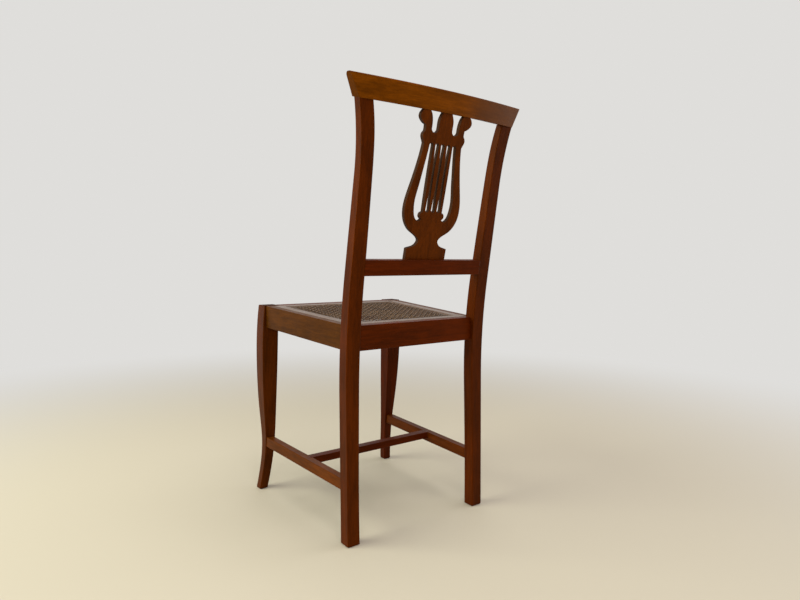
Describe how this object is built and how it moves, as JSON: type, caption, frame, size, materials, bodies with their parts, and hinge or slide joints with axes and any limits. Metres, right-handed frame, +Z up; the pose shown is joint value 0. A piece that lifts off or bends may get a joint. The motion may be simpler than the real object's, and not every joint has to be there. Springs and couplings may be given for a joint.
{
  "type": "lyre back dining chair",
  "caption": "Wooden side chair with a pierced lyre splat, sabre front legs, an H stretcher and a lift-out caned seat.",
  "frame": {"origin": "on the floor, under the middle of the chair's outline", "axes": "+Z up, the chair faces -Y, +X to the sitter's left"},
  "size_m": [0.4442, 0.4776, 0.9098],
  "materials": {
    "stained_beech": "satin",
    "seat_frame_wood": "satin",
    "raw_wood": "matte",
    "cane": "satin",
    "screw_steel": "satin"
  },
  "bodies": {
    "frame": {"rear_leg_left": "stained_beech", "rear_leg_right": "stained_beech", "front_leg_left": "stained_beech", "front_leg_right": "stained_beech", "crest_rail": "stained_beech", "lower_back_rail": "stained_beech", "lyre_splat": "stained_beech", "back_seat_rail": "stained_beech", "front_seat_rail": "stained_beech", "side_seat_rail_left": "stained_beech", "side_seat_rail_right": "stained_beech", "side_stretcher_left": "stained_beech", "side_stretcher_right": "stained_beech", "cross_stretcher": "stained_beech", "corner_block_front_left": "raw_wood", "corner_block_front_right": "raw_wood", "corner_block_rear_left": "raw_wood", "corner_block_rear_right": "raw_wood", "front_batten": "raw_wood", "back_batten": "raw_wood", "left_batten": "raw_wood", "right_batten": "raw_wood", "corner_block_screws": "screw_steel", "batten_screws": "screw_steel"},
    "seat": {"seat_frame_front": "seat_frame_wood", "seat_frame_back": "seat_frame_wood", "seat_frame_left": "seat_frame_wood", "seat_frame_right": "seat_frame_wood", "cane_panel": "cane", "seat_spline_front": "seat_frame_wood", "seat_spline_back": "seat_frame_wood", "seat_spline_left": "seat_frame_wood", "seat_spline_right": "seat_frame_wood"}
  },
  "joints": [
    {"name": "seat_lift", "type": "slide", "parent": "frame", "child": "seat", "axis": [0, 0, 1], "range_m": [0, 0.06]}
  ]
}
